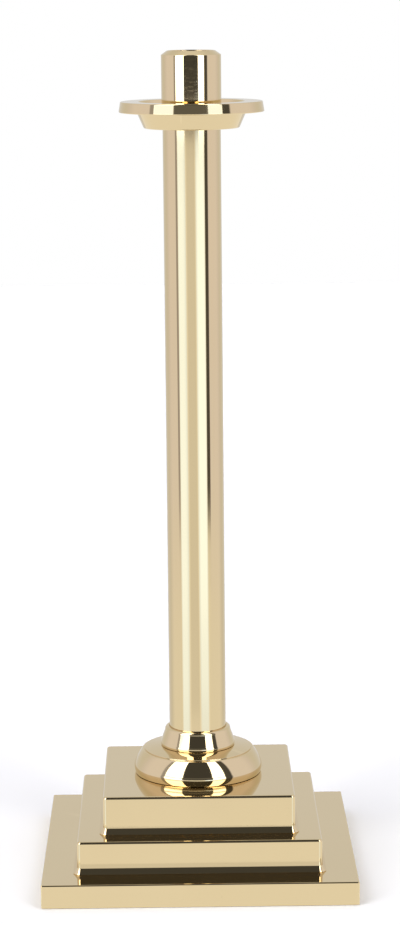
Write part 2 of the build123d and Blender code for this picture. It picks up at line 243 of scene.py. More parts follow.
@dataclass
class SurfaceEffects:
    """Node groups that more than one finish uses.

    Each pair says where a soft step starts and ends.
    """

    scratch_share: Fade = (0.56, 0.74)
    smudge_share: Fade = (0.42, 0.7)
    pitted_cells: Fade = (0.9, 0.93)
    patch_share: Fade = (0.3, 0.65)
    least_wear: float = 0.35
    edge_turn: Fade = (0.515, 0.56)
    hollow_turn: Fade = (0.485, 0.44)
    polish: bpy.types.NodeTree = field(init=False)
    pitting: bpy.types.NodeTree = field(init=False)
    wear: bpy.types.NodeTree = field(init=False)
    rings: bpy.types.NodeTree = field(init=False)

    def __post_init__(self) -> None:
        """Build each group once."""
        self.polish = self.build_polish()
        self.pitting = self.build_pitting()
        self.wear = self.build_wear()
        self.rings = self.build_rings()

    def build_polish(self) -> bpy.types.NodeTree:
        """Buffing marks: slow waves, fine scratches and soft smudges.

        Returns:
            The group's tree.
        """
        tree, wires, given, out = new_group(
            "polish",
            {
                "Place": ("NodeSocketVector", None),
                "Wave Scale": ("NodeSocketFloat", 30.0),
                "Scratch Scale": ("NodeSocketVector", (900.0, 900.0, 40.0)),
                "Smudge Scale": ("NodeSocketFloat", 22.0),
            },
            ("Wave", "Scratch", "Smudge"),
        )
        place = given.outputs["Place"]
        wave = wires.noise(place, given.outputs["Wave Scale"], 1.0)
        stretch = wires.add("ShaderNodeVectorMath", operation="MULTIPLY")
        wires.plug(stretch.inputs[0], place)
        wires.plug(stretch.inputs[1], given.outputs["Scratch Scale"])
        fine = wires.noise(stretch.outputs[0], 1.0, 3.0)
        scratch = wires.rise(fine, *self.scratch_share)
        smudge = wires.rise(wires.noise(place, given.outputs["Smudge Scale"], 3.0), *self.smudge_share)
        for name, value in (("Wave", wave), ("Scratch", scratch), ("Smudge", smudge)):
            wires.plug(out.inputs[name], value)
        return tree

    def build_pitting(self) -> bpy.types.NodeTree:
        """Small scattered pits of a casting.

        Returns:
            The group's tree.
        """
        tree, wires, given, out = new_group(
            "pitting",
            {
                "Place": ("NodeSocketVector", None),
                "Scale": ("NodeSocketFloat", 260.0),
                "Size": ("NodeSocketFloat", 0.12),
            },
            ("Pits", "Depth"),
        )
        cells = wires.add("ShaderNodeTexVoronoi", feature="F1")
        wires.plug(cells.inputs["Vector"], given.outputs["Place"])
        wires.plug(cells.inputs["Scale"], given.outputs["Scale"])
        seed = wires.add("ShaderNodeSeparateColor")
        wires.plug(seed.inputs[0], cells.outputs["Color"])
        chosen = wires.rise(seed.outputs[0], *self.pitted_cells)
        near = wires.rise(cells.outputs["Distance"], given.outputs["Size"], 0.0)
        pits = wires.math("MULTIPLY", near, chosen)
        wires.plug(out.inputs["Pits"], pits)
        wires.plug(out.inputs["Depth"], wires.math("SUBTRACT", 1.0, pits))
        return tree

    def build_wear(self) -> bpy.types.NodeTree:
        """Rubbed edges and dull hollows, from how sharply the surface turns.

        Returns:
            The group's tree.
        """
        tree, wires, given, out = new_group(
            "wear",
            {"Place": ("NodeSocketVector", None), "Patch Scale": ("NodeSocketFloat", 70.0)},
            ("Edge", "Hollow"),
        )
        turn = wires.add("ShaderNodeNewGeometry").outputs["Pointiness"]
        patch = wires.noise(given.outputs["Place"], given.outputs["Patch Scale"], 3.0)
        patch = wires.spread(wires.rise(patch, *self.patch_share), self.least_wear, 1.0)
        edge = wires.math("MULTIPLY", wires.rise(turn, *self.edge_turn), patch)
        hollow = wires.math("MULTIPLY", wires.rise(turn, *self.hollow_turn), patch)
        wires.plug(out.inputs["Edge"], edge)
        wires.plug(out.inputs["Hollow"], hollow)
        return tree

    def build_rings(self) -> bpy.types.NodeTree:
        """Faint rings left by turning, from the distance to the axis and the height.

        Returns:
            The group's tree.
        """
        tree, wires, given, out = new_group(
            "turning",
            {"Place": ("NodeSocketVector", None), "Rings": ("NodeSocketFloat", 1800.0)},
            ("Height",),
        )
        split = wires.add("ShaderNodeSeparateXYZ")
        wires.plug(split.inputs[0], given.outputs["Place"])
        squares = [wires.math("POWER", split.outputs[axis], 2.0) for axis in (0, 1)]
        across = wires.math("SQRT", wires.math("ADD", *squares))
        join = wires.add("ShaderNodeCombineXYZ")
        wires.plug(join.inputs[0], across)
        wires.plug(join.inputs[2], split.outputs[2])
        wires.plug(out.inputs["Height"], wires.noise(join.outputs[0], given.outputs["Rings"], 2.0))
        return tree


# ---------------------------------------------------------------- finishes
def tinted(colour: Colour, factor: float) -> Colour:
    """Make a colour lighter or darker, up to full white.

    Args:
        colour: the colour.
        factor: what each part is multiplied by.

    Returns:
        The new colour.
    """
    return tuple(min(1.0, factor * part) for part in colour)


class Working(Enum):
    """How a brass piece was made, with the fineness of its marks along each axis."""

    CAST = (1400.0, 60.0, 1400.0)
    TURNED = (160.0, 160.0, 1500.0)
    DRAWN = (1300.0, 1300.0, 30.0)


@dataclass(frozen=True)
class BrassFinish:
    """Polished brass."""

    name: str
    working: Working
    colour: Colour = (0.762, 0.618, 0.372)
    tarnish: Colour = (0.42, 0.30, 0.15)
    roughness: float = 0.05
    wave_scale: float = 26.0
    wave_height: float = 0.00002
    scratch_height: float = 0.0000012
    pits: float = 0.5
    pit_depth: float = 0.00003
    ring_height: float = 0.0
    warm_scale: float = 9.0
    warm_share: float = 0.5
    warm_shift: Colour = (0.95, 0.92, 0.86)
    rubbed_share: float = 0.5
    rubbed_shine: float = 1.12
    hollow_share: float = 0.7
    dull_roughness: float = 0.25

    def build(self, effects: SurfaceEffects) -> bpy.types.Material:
        """Make the material.

        Args:
            effects: the shared node groups.

        Returns:
            The material.
        """
        material, wires, shader = new_material(self.name)
        place = wires.add("ShaderNodeTexCoord").outputs["Object"]
        polish = wires.group(
            effects.polish, Place=place, Wave_Scale=self.wave_scale, Scratch_Scale=self.working.value)
        pitting = wires.group(effects.pitting, Place=place)
        wear = wires.group(effects.wear, Place=place)
        warmth = wires.spread(wires.noise(place, self.warm_scale, 2.0), 0.0, self.warm_share)
        warmer = tuple(part * shift for part, shift in zip(self.colour, self.warm_shift))
        colour = wires.blend(warmth, self.colour, warmer)
        rubbed = wires.math("MULTIPLY", wear.outputs["Edge"], self.rubbed_share)
        colour = wires.blend(rubbed, colour, tinted(self.colour, self.rubbed_shine))
        dull = wires.math("MULTIPLY", wear.outputs["Hollow"], self.hollow_share)
        dull = wires.math("MAXIMUM", dull, wires.math("MULTIPLY", pitting.outputs["Pits"], self.pits))
        colour = wires.blend(dull, colour, self.tarnish)
        wires.plug(shader.inputs["Base Color"], colour)
        shader.inputs["Metallic"].default_value = 1.0
        rough = wires.spread(polish.outputs["Smudge"], self.roughness * 0.8, self.roughness * 1.5)
        rough = wires.math("MULTIPLY_ADD", polish.outputs["Scratch"], self.roughness * 0.5, rough)
        rough = wires.math("MULTIPLY_ADD", dull, self.dull_roughness, rough)
        wires.plug(shader.inputs["Roughness"], rough)
        height = wires.math("MULTIPLY", polish.outputs["Wave"], self.wave_height)
        height = wires.math("MULTIPLY_ADD", polish.outputs["Scratch"], -self.scratch_height, height)
        height = wires.math("MULTIPLY_ADD", pitting.outputs["Pits"], -self.pit_depth * self.pits, height)
        if self.ring_height:
            rings = wires.group(effects.rings, Place=place)
            height = wires.math("MULTIPLY_ADD", rings.outputs["Height"], self.ring_height, height)
        add_bump(wires, shader, height)
        return material


@dataclass(frozen=True)
class MetalFinish:
    """Plain working metal: plated steel or grey iron."""

    name: str
    colour: Colour
    spots: Colour
    roughness: float
    metallic: float
    grain: float
    scratches: Colour = (700.0, 700.0, 700.0)
    pit_scale: float = 420.0
    grain_scale: float = 1500.0
    rubbed_shine: float = 1.3
    smudge_roughness: float = 0.15

    def build(self, effects: SurfaceEffects) -> bpy.types.Material:
        """Make the material.

        Args:
            effects: the shared node groups.

        Returns:
            The material.
        """
        material, wires, shader = new_material(self.name)
        place = wires.add("ShaderNodeTexCoord").outputs["Object"]
        polish = wires.group(effects.polish, Place=place, Scratch_Scale=self.scratches)
        pitting = wires.group(effects.pitting, Place=place, Scale=self.pit_scale)
        wear = wires.group(effects.wear, Place=place)
        colour = wires.blend(polish.outputs["Smudge"], self.colour, self.spots)
        colour = wires.blend(wear.outputs["Edge"], colour, tinted(self.colour, self.rubbed_shine))
        wires.plug(shader.inputs["Base Color"], colour)
        shader.inputs["Metallic"].default_value = self.metallic
        roughest = self.roughness + self.smudge_roughness
        rough = wires.spread(polish.outputs["Smudge"], self.roughness, roughest)
        wires.plug(shader.inputs["Roughness"], rough)
        height = wires.math("MULTIPLY", wires.noise(place, self.grain_scale, 4.0), self.grain)
        height = wires.math("MULTIPLY_ADD", pitting.outputs["Pits"], -2 * self.grain, height)
        add_bump(wires, shader, height)
        return material


@dataclass(frozen=True)
class SoftFinish:
    """Felt, leather or rubber."""

    name: str
    colour: Colour
    fleck: Colour
    roughness: float
    grain_scale: float
    grain: float
    sheen: float = 0.0
    smudge_scale: float = 60.0
    smudge_share: float = 0.4
    smudge_shade: float = 0.6
    fleck_share: Fade = (0.4, 0.65)
    fibre_roughness: float = 0.1

    def build(self, effects: SurfaceEffects) -> bpy.types.Material:
        """Make the material.

        Args:
            effects: the shared node groups.

        Returns:
            The material.
        """
        material, wires, shader = new_material(self.name)
        place = wires.add("ShaderNodeTexCoord").outputs["Object"]
        polish = wires.group(effects.polish, Place=place, Smudge_Scale=self.smudge_scale)
        fibre = wires.noise(place, self.grain_scale, 5.0)
        colour = wires.blend(wires.rise(fibre, *self.fleck_share), self.colour, self.fleck)
        smudge = wires.math("MULTIPLY", polish.outputs["Smudge"], self.smudge_share)
        colour = wires.blend(smudge, colour, tinted(self.colour, self.smudge_shade))
        wires.plug(shader.inputs["Base Color"], colour)
        roughest = min(1.0, self.roughness + self.fibre_roughness)
        wires.plug(shader.inputs["Roughness"], wires.spread(fibre, self.roughness, roughest))
        shader.inputs["Sheen Weight"].default_value = self.sheen
        add_bump(wires, shader, wires.math("MULTIPLY", fibre, self.grain))
        return material


def new_material(name: str) -> tuple[bpy.types.Material, Wires, bpy.types.Node]:
    """Start a material.

    Args:
        name: the material's name.

    Returns:
        The material, its wires and its Principled shader.
    """
    material = bpy.data.materials.new(name)
    material.use_nodes = True
    tree = material.node_tree
    tree.nodes.clear()
    wires = Wires(tree)
    shader = wires.add("ShaderNodeBsdfPrincipled")
    output = wires.add("ShaderNodeOutputMaterial")
    wires.plug(output.inputs["Surface"], shader.outputs["BSDF"])
    return material, wires, shader


def add_bump(wires: Wires, shader: bpy.types.Node, height: bpy.types.NodeSocket) -> None:
    """Feed a height in metres to a shader's normal.

    Args:
        wires: the material's wires.
        shader: the Principled node.
        height: the height's socket.
    """
    bump = wires.add("ShaderNodeBump")
    bump.inputs["Strength"].default_value = 1.0
    bump.inputs["Distance"].default_value = 1.0
    wires.plug(bump.inputs["Height"], height)
    wires.plug(shader.inputs["Normal"], bump.outputs["Normal"])


@dataclass
class Finishes:
    """Every material of the stand, by the slot and the kind of work."""

    effects: SurfaceEffects
    cast: bpy.types.Material = field(init=False)
    turned: bpy.types.Material = field(init=False)
    drawn: bpy.types.Material = field(init=False)
    bore: bpy.types.Material = field(init=False)
    steel: bpy.types.Material = field(init=False)
    iron: bpy.types.Material = field(init=False)
    felt: bpy.types.Material = field(init=False)
    rubber: bpy.types.Material = field(init=False)
    leather: bpy.types.Material = field(init=False)

    def __post_init__(self) -> None:
        """Build each material once."""
        self.cast = BrassFinish(
            "brass_cast", Working.CAST, wave_scale=16.0, wave_height=0.00006).build(self.effects)
        self.turned = BrassFinish(
            "brass_turned", Working.TURNED, pits=0.15, ring_height=0.0000006).build(self.effects)
        self.drawn = BrassFinish(
            "brass_drawn", Working.DRAWN, wave_scale=9.0, wave_height=0.0002, pits=0.1).build(self.effects)
        self.bore = BrassFinish(
            "brass_bore", Working.TURNED, roughness=0.22, ring_height=0.000004).build(self.effects)
        self.steel = MetalFinish(
            "zinc_steel", (0.60, 0.60, 0.60), (0.48, 0.47, 0.43),
            roughness=0.28, metallic=1.0, grain=0.000004).build(self.effects)
        self.iron = MetalFinish(
            "cast_iron", (0.10, 0.10, 0.105), (0.16, 0.11, 0.08),
            roughness=0.6, metallic=0.6, grain=0.00006).build(self.effects)
        self.felt = SoftFinish(
            "green_felt", (0.012, 0.07, 0.03), (0.03, 0.13, 0.06),
            roughness=0.92, grain_scale=2600.0, grain=0.00012, sheen=0.6).build(self.effects)
        self.rubber = SoftFinish(
            "black_rubber", (0.012, 0.012, 0.012), (0.03, 0.03, 0.03),
            roughness=0.6, grain_scale=900.0, grain=0.00003).build(self.effects)
        self.leather = SoftFinish(
            "oiled_leather", (0.10, 0.045, 0.02), (0.17, 0.085, 0.04),
            roughness=0.5, grain_scale=1200.0, grain=0.00005).build(self.effects)


# ---------------------------------------------------------------- outlines and meshes
@dataclass(frozen=True)
class Corner:
    """A point of an outline: how far out, how far up, and how round."""

    out: float
    up: float
    round: float = 0.0


def arc_between(start: Corner, end: Corner, heading: tuple[float, float], steps: int) -> list[Corner]:
    """Points of the arc that leaves a start in a given direction and ends at a given point.

    Args:
        start: where the arc starts; it is left out of the result.
        end: where the arc ends; it is the last point.
        heading: direction at the start, outwards and upwards.
        steps: how many points.

    Returns:
        The points after the start.
    """
    chord = Vector((end.out - start.out, end.up - start.up))
    along = Vector(heading).normalized()
    across = Vector((-along.y, along.x))
    side = chord.dot(across)
    if abs(side) < 1e-9:
        return [end]
    radius = chord.length_squared / (2 * side)
    turn = 2 * math.atan2(side, chord.dot(along))
    points = []
    for step in range(1, steps + 1):
        angle = turn * step / steps
        offset = along * (radius * math.sin(angle)) + across * (radius * (1 - math.cos(angle)))
        points.append(Corner(start.out + offset.x, start.up + offset.y))
    return points


def soften(outline: Sequence[Corner], steps: int = 6) -> list[Corner]:
    """Replace each rounded corner of a closed outline by an arc.

    Args:
        outline: the corners in order.
        steps: pieces in each arc.

    Returns:
        The outline with its arcs as points.
    """
    points: list[Corner] = []
    count = len(outline)
    for index, corner in enumerate(outline):
        if not corner.round:
            points.append(corner)
            continue
        here = Vector((corner.out, corner.up))
        before = outline[index - 1]
        after = outline[(index + 1) % count]
        back = (Vector((before.out, before.up)) - here).normalized()
        ahead = (Vector((after.out, after.up)) - here).normalized()
        half = back.angle(ahead) / 2
        reach = corner.round / math.tan(half)
        start = here + back * reach
        end = here + ahead * reach
        first = Corner(start.x, start.y)
        points.append(first)
        points.extend(arc_between(first, Corner(end.x, end.y), tuple(-back), steps))
    return points


def make_piece(
    name: str,
    vertices: Sequence[Vector],
    faces: Sequence[Sequence[int]],
    materials: Sequence[bpy.types.Material],
    face_material: Optional[Sequence[int]] = None,
) -> bpy.types.Object:
    """Turn vertices and faces into a smooth-shaded piece.

    Args:
        name: the piece's name.
        vertices: points in metres.
        faces: vertex numbers of each face.
        materials: the piece's materials.
        face_material: which material each face has.

    Returns:
        The new object.
    """
    mesh = bpy.data.meshes.new(name)
    mesh.from_pydata(vertices, [], faces)
    for material in materials:
        mesh.materials.append(material)
    for number, polygon in enumerate(mesh.polygons):
        polygon.use_smooth = True
        if face_material:
            polygon.material_index = face_material[number]
    mesh.validate()
    piece = bpy.data.objects.new(name, mesh)
    bpy.context.scene.collection.objects.link(piece)
    modifier = piece.modifiers.new("even_normals", "WEIGHTED_NORMAL")
    modifier.mode = "FACE_AREA"
    modifier.weight = 100
    return piece


def join_rings(count: int, size: int) -> list[tuple[int, int, int, int]]:
    """Faces between rings of vertices, with the last ring joined to the first.

    Args:
        count: how many rings.
        size: vertices in each ring.

    Returns:
        The faces.
    """
    faces = []
    for ring in range(count):
        upper = (ring + 1) % count
        for step in range(size):
            following = (step + 1) % size
            here, there = ring * size, upper * size
            faces.append((here + step, here + following, there + following, there + step))
    return faces


def turned_piece(
    name: str,
    outline: Sequence[Corner],
    materials: Sequence[bpy.types.Material],
    bore_radius: float = 0.0,
    segments: int = 160,
) -> bpy.types.Object:
    """A turned ring from a closed outline, given anticlockwise with the axis on its left.

    Args:
        name: the piece's name.
        outline: radius and height of each corner.
        materials: the outside's material, and the bore's if there is one.
        bore_radius: faces inside this radius have the second material.
        segments: steps round the axis.

    Returns:
        The piece.
    """
    points = soften(outline)
    vertices = []
    for point in points:
        for step in range(segments):
            angle = math.tau * step / segments
            vertices.append(Vector((point.out * math.cos(angle), point.out * math.sin(angle), point.up)))
    faces = join_rings(len(points), segments)
    marks = None
    if len(materials) > 1:
        marks = []
        for ring, point in enumerate(points):
            inside = max(point.out, points[(ring + 1) % len(points)].out) <= bore_radius
            marks.extend([int(inside)] * segments)
    return make_piece(name, vertices, faces, materials, marks)


def square_piece(
    name: str,
    outline: Sequence[Corner],
    material: bpy.types.Material,
    corner_radius: float,
    corner_steps: int = 8,
    side_steps: int = 12,
) -> bpy.types.Object:
    """A square ring from a closed outline, with rounded vertical corners.

    Args:
        name: the piece's name.
        outline: half width and height of each corner, anticlockwise with the axis on its left.
        material: the piece's material.
        corner_radius: radius of the vertical corners at the first corner's half width.
        corner_steps: pieces in each rounded corner.
        side_steps: pieces along each side.

    Returns:
        The piece.
    """
    points = soften(outline)
    reference = outline[0].out
    vertices = []
    for point in points:
        radius = min(max(corner_radius + point.out - reference, BARE_EDGE), point.out)
        inner = point.out - radius
        ring = []
        for quarter in range(4):
            turn = Matrix.Rotation(quarter * math.pi / 2, 2)
            for step in range(corner_steps + 1):
                angle = math.pi / 2 * step / corner_steps
                bend = Vector((math.cos(angle), math.sin(angle)))
                ring.append(turn @ (Vector((inner, inner)) + radius * bend))
            for step in range(1, side_steps):
                ring.append(turn @ Vector((inner - 2 * inner * step / side_steps, point.out)))
        vertices.extend(Vector((spot.x, spot.y, point.up)) for spot in ring)
    faces = join_rings(len(points), len(vertices) // len(points))
    return make_piece(name, vertices, faces, [material])


def fit_out(piece: bpy.types.Object, body: str, nodes: Iterable[str]) -> None:
    """Tie a piece to its body and the nodes that it stands for.

    Args:
        piece: the piece.
        body: the body that it moves with.
        nodes: the nodes that it replaces.
    """
    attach(piece, body)
    for node in nodes:
        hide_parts(node)
    LOG.info("%s rides on %s, %d faces", piece.name, body, len(piece.data.polygons))


# ---------------------------------------------------------------- sub-assemblies
@dataclass(frozen=True)
class Sweep:
    """How a riser sweeps out above the splay at its foot: how far, from how high up, and its radius."""

    out: float
    up: float
    round: float


@dataclass
class SteppedBase:
    """The three cast tiers, hollow below."""

    finishes: Finishes
    wall: float = 7.0 * MM
    deck: float = 5.5 * MM
    top_round: float = 1.8 * MM
    lowest_round: float = 1.0 * MM
    corner: float = 2.8 * MM
    splay: float = 2.8 * MM
    splay_lip: float = 0.45 * MM
    splay_height: float = 4.1 * MM
    splay_tip: float = 0.2 * MM
    splay_round: float = 1.2 * MM
    middle_sweep: Sweep = Sweep(0.22 * MM, 6.6 * MM, 46.0 * MM)
    upper_sweep: Sweep = Sweep(0.06 * MM, 5.0 * MM, 13.0 * MM)
    hole: float = 20.0 * MM
    inside: float = 0.02 * MM
    inner_round: float = 1.0 * MM
    lowest_wall: float = 9.0 * MM
    lowest_corner: float = 0.8 * MM
    lowest_foot: float = 0.4 * MM
    rebate: float = 0.3 * MM

    def tier(self, node: str, sweep: Sweep) -> bpy.types.Object:
        """One of the two upper tiers, with the splay at its foot.

        Args:
            node: the tier's node.
            sweep: how its riser sweeps out above the splay.

        Returns:
            The piece.
        """
        low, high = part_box(node)
        edge = high.x - self.inside
        half = high.x - self.splay - self.inside
        inner = half - self.wall
        outline = [
            Corner(half, low.z + sweep.up, sweep.round),
            Corner(half, high.z, self.top_round),
            Corner(self.hole, high.z, BARE_EDGE),
            Corner(self.hole, high.z - self.deck, BARE_EDGE),
            Corner(inner, high.z - self.deck, self.inner_round),
            Corner(inner, low.z, BARE_EDGE),
            Corner(edge, low.z),
            Corner(edge, low.z + self.splay_lip, self.splay_tip),
            Corner(half + sweep.out, low.z + self.splay_height, self.splay_round),
        ]
        return square_piece(f"{node}_casting", outline, self.finishes.cast, self.corner)

    def lowest(self) -> bpy.types.Object:
        """The lowest tier, with the rebate for its cover.

        Returns:
            The piece.
        """
        low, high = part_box("base_plinth")
        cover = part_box("base_cover")[1]
        rebate = cover.x + self.rebate
        inner = high.x - self.lowest_wall
        hole = 2 * self.hole
        outline = [
            Corner(high.x, low.z, self.lowest_foot),
            Corner(high.x, high.z, self.lowest_round),
            Corner(hole, high.z, BARE_EDGE),
            Corner(hole, high.z - self.deck, BARE_EDGE),
            Corner(inner, high.z - self.deck, self.inner_round),
            Corner(inner, cover.z),
            Corner(rebate, cover.z),
            Corner(rebate, low.z, BARE_EDGE),
        ]
        return square_piece(
            "base_plinth_casting", outline, self.finishes.cast, self.lowest_corner, side_steps=24)

    def build(self) -> None:
        """Build the tiers and tie them to the stand."""
        fit_out(self.lowest(), "stand", ["base_plinth"])
        for node, sweep in (("middle_plinth", self.middle_sweep), ("upper_plinth", self.upper_sweep)):
            fit_out(self.tier(node, sweep), "stand", [node])


@dataclass
class ColumnFoot:
    """The turned collar and the tapered ferrule on it."""

    finishes: Finishes
    foot: float = 46.8 * MM
    bulge: float = 47.8 * MM
    bulge_up: float = 4.7 * MM
    bulge_round: float = 8.0 * MM
    bulge_lean: float = math.radians(19.0)
    rim: float = 41.3 * MM
    rim_up: float = 18.0 * MM
    step: float = 40.0 * MM
    step_drop: float = 0.25 * MM
    step_up: float = 0.7 * MM
    edge_round: float = 0.2 * MM
    shoulder_round: float = 4.0 * MM
    seat_round: float = 0.1 * MM
    collar_floor: float = 6.0 * MM
    stud_hole: float = 6.5 * MM
    spigot: float = 3.6 * MM
    wide: float = 6.8 * MM
    wide_up: float = 2.1 * MM
    wide_round: float = 5.0 * MM
    narrow: float = 6.2 * MM
    lip: float = 3.3 * MM
    lip_drop: float = 2.6 * MM
    mouth: float = 1.1 * MM
    fit: float = 0.05 * MM

    def collar(self) -> bpy.types.Object:
        """Tucked-in foot, leaning flank, small step and shoulder, with the ferrule's seat inside.

        Returns:
            The piece.
        """
        low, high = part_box("foot_collar")
        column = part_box("column_tube")[1].x
        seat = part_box("column_ferrule")[0].z
        base = low.z
        lean = (math.sin(self.bulge_lean), math.cos(self.bulge_lean))
        foot = Corner(self.foot, base)
        bulge = Corner(self.bulge, base + self.bulge_up)
        flank = Corner(bulge.out - self.bulge_round * (1 - lean[1]), bulge.up + self.bulge_round * lean[0])
        rim = Corner(self.rim, base + self.rim_up)
        outline = [
            foot,
            *reversed(arc_between(bulge, foot, (0.0, -1.0), 8)[:-1]),
            bulge,
            *arc_between(bulge, flank, (0.0, 1.0), 10),
            *arc_between(flank, rim, (-lean[0], lean[1]), 18),
            Corner(self.step, rim.up - self.step_drop, self.edge_round),
            Corner(self.step, rim.up + self.step_up, self.edge_round),
            Corner(column + self.wide, high.z, self.shoulder_round),
            Corner(column + self.spigot + self.fit, high.z, self.seat_round),
            Corner(column + self.spigot + self.fit, seat),
            Corner(column + self.fit, seat),
            Corner(column + self.fit, base + self.collar_floor),
            Corner(self.stud_hole, base + self.collar_floor),
            Corner(self.stud_hole, base),
        ]
        return turned_piece("foot_collar_turned", outline, [self.finishes.turned])

    def ferrule(self) -> bpy.types.Object:
        """Tapered ferrule with a rounded lip, let into the collar.

        Returns:
            The piece.
        """
        low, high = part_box("column_ferrule")
        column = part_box("column_tube")[1].x
        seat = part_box("foot_collar")[1].z
        lip = Corner(column + self.lip, high.z - self.lip_drop)
        mouth = Corner(column + self.mouth, high.z)
        outline = [
            Corner(column + self.fit, low.z),
            Corner(column + self.spigot, low.z),
            Corner(column + self.spigot, seat),
            Corner(column + self.narrow, seat),
            Corner(column + self.wide, seat + self.wide_up, self.wide_round),
            lip,
            *reversed(arc_between(mouth, lip, (1.0, 0.0), 10)[:-1]),
            mouth,
            Corner(column + self.fit, high.z),
        ]
        return turned_piece("column_ferrule_turned", outline, [self.finishes.turned])

    def build(self) -> None:
        """Build both rings and tie them to the stand."""
        fit_out(self.collar(), "stand", ["foot_collar"])
        fit_out(self.ferrule(), "stand", ["column_ferrule"])


@dataclass
class Column:
    """The drawn tube."""

    finishes: Finishes
    wall: float = 2.5 * MM
    rings: int = 40
    bore_depth: float = 0.1 * MM

    def build(self) -> None:
        """Build the tube and tie it to the stand."""
        low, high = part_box("column_tube")
        outer = high.x
        inner = outer - self.wall
        step = (high.z - low.z) / self.rings
        outline = [Corner(outer, low.z)]
        outline += [Corner(outer, low.z + step * count) for count in range(1, self.rings)]
        outline += [Corner(outer, high.z, BARE_EDGE), Corner(inner, high.z, BARE_EDGE)]
        outline += [Corner(inner, high.z - step * count) for count in range(1, self.rings + 1)]
        dress = [self.finishes.drawn, self.finishes.bore]
        tube = turned_piece("column_tube_drawn", outline, dress, inner + self.bore_depth)
        fit_out(tube, "stand", ["column_tube"])


@dataclass
class PanTop:
    """The pan that goes over the column's end."""

    finishes: Finishes
    foot: float = 34.6 * MM
    bowl: float = 39.7 * MM
    band_depth: float = 7.7 * MM
    band_wall: float = 3.0 * MM
    band_top: float = 51.55 * MM
    widest: float = 52.8 * MM
    edge_round: float = 0.7 * MM
    under_round: float = 0.8 * MM
    foot_round: float = 1.6 * MM
    dish_round: float = 3.0 * MM
    hole_round: float = 0.2 * MM
    hole_wall: float = 2.25 * MM
    clearance: float = 0.3 * MM
    dish: float = 38.6 * MM
    dish_floor: float = 31.5 * MM
    floor: float = 5.0 * MM
    seat_depth: float = 1.5 * MM

    def build(self) -> None:
        """Build the pan and tie it to its body."""
        low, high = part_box("drip_pan")
        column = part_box("column_tube")[1].x
        hole = column - self.hole_wall
        seat = column + self.clearance
        lean = (self.bowl - self.foot) / (high.z - low.z - self.band_depth)
        under = high.z - self.band_wall
        rim = high.z - self.band_depth
        outline = [
            Corner(seat, low.z),
            Corner(self.foot, low.z, self.foot_round),
            Corner(self.foot + lean * (under - low.z), under, self.under_round),
            Corner(self.band_top - self.band_wall, under, self.under_round),
            Corner(self.widest - self.band_wall, rim, self.edge_round),
            Corner(self.widest, rim, self.edge_round),
            Corner(self.band_top, high.z, self.edge_round),
            Corner(self.dish, high.z, self.edge_round),
            Corner(self.dish_floor, low.z + self.floor, self.dish_round),
            Corner(hole, low.z + self.floor, self.hole_round),
            Corner(hole, low.z + self.seat_depth),
            Corner(seat, low.z + self.seat_depth),
        ]
        pan = turned_piece("drip_pan_spun", outline, [self.finishes.turned])
        fit_out(pan, "pan", ["drip_pan"])


@dataclass
class Socket:
    """The socket that takes the pole."""

    finishes: Finishes
    bore: float = 16.25 * MM
    spigot_wall: float = 2.3 * MM
    shoulder_up: float = 42.0 * MM
    chamfer: float = 4.3 * MM
    chamfer_up: float = 3.0 * MM
    chamfer_foot: float = 0.5 * MM
    chamfer_top: float = 0.25 * MM
    mouth: float = 0.5 * MM
    mouth_round: float = 0.1 * MM
    bore_reach: float = 0.45 * MM

    def build(self) -> None:
        """Build the socket and tie it to its body."""
        low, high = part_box("pole_socket")
        outer = high.x
        spigot = self.bore + self.spigot_wall
        shoulder = low.z + self.shoulder_up
        outline = [
            Corner(self.bore, low.z, BARE_EDGE),
            Corner(spigot, low.z, BARE_EDGE),
            Corner(spigot, shoulder),
            Corner(outer, shoulder, BARE_EDGE),
            Corner(outer, high.z - self.chamfer_up, self.chamfer_foot),
            Corner(outer - self.chamfer, high.z, self.chamfer_top),
            Corner(self.bore + self.mouth, high.z, self.mouth_round),
            Corner(self.bore, high.z - self.mouth, self.mouth_round),
        ]
        dress = [self.finishes.turned, self.finishes.bore]
        socket = turned_piece("pole_socket_turned", outline, dress, self.bore + self.bore_reach)
        fit_out(socket, "socket", ["pole_socket"])


@dataclass
class HiddenWork:
    """Pieces inside and under the stand, which keep their own shape and get a finish."""

    finishes: Finishes

    def build(self, nodes: dict[str, bpy.types.Object]) -> None:
        """Dress the nodes that stay.

        Args:
            nodes: the frame's objects by node name.
        """
        dress = {
            "lower_ballast": self.finishes.iron,
            "upper_ballast": self.finishes.iron,
            "base_felt": self.finishes.felt,
            "rest_pad": self.finishes.rubber,
            "socket_washer": self.finishes.leather,
            "pole_cup": self.finishes.bore,
        }
        for name in (
            "base_screws", "middle_screws", "base_cover", "cover_screws", "tie_stud", "tie_washer",
            "spring_washer", "tie_nut", "collar_dowels", "column_plug", "plug_pins",
        ):
            dress[name] = self.finishes.steel
        for name, material in dress.items():
            mesh = nodes[name].data
            mesh.materials.clear()
            mesh.materials.append(material)
            LOG.info("%s keeps its shape and is dressed in %s", name, material.name)


# ---------------------------------------------------------------- floor, light and camera
@dataclass(frozen=True)
class LightPatch:
    """A patch of the surround, by its bearing and height as seen from the stand, in degrees."""

    left: float
    right: float
    bottom: float
    top: float
    brightness: float
    soft_left: float
    soft_right: float
    soft_end: float


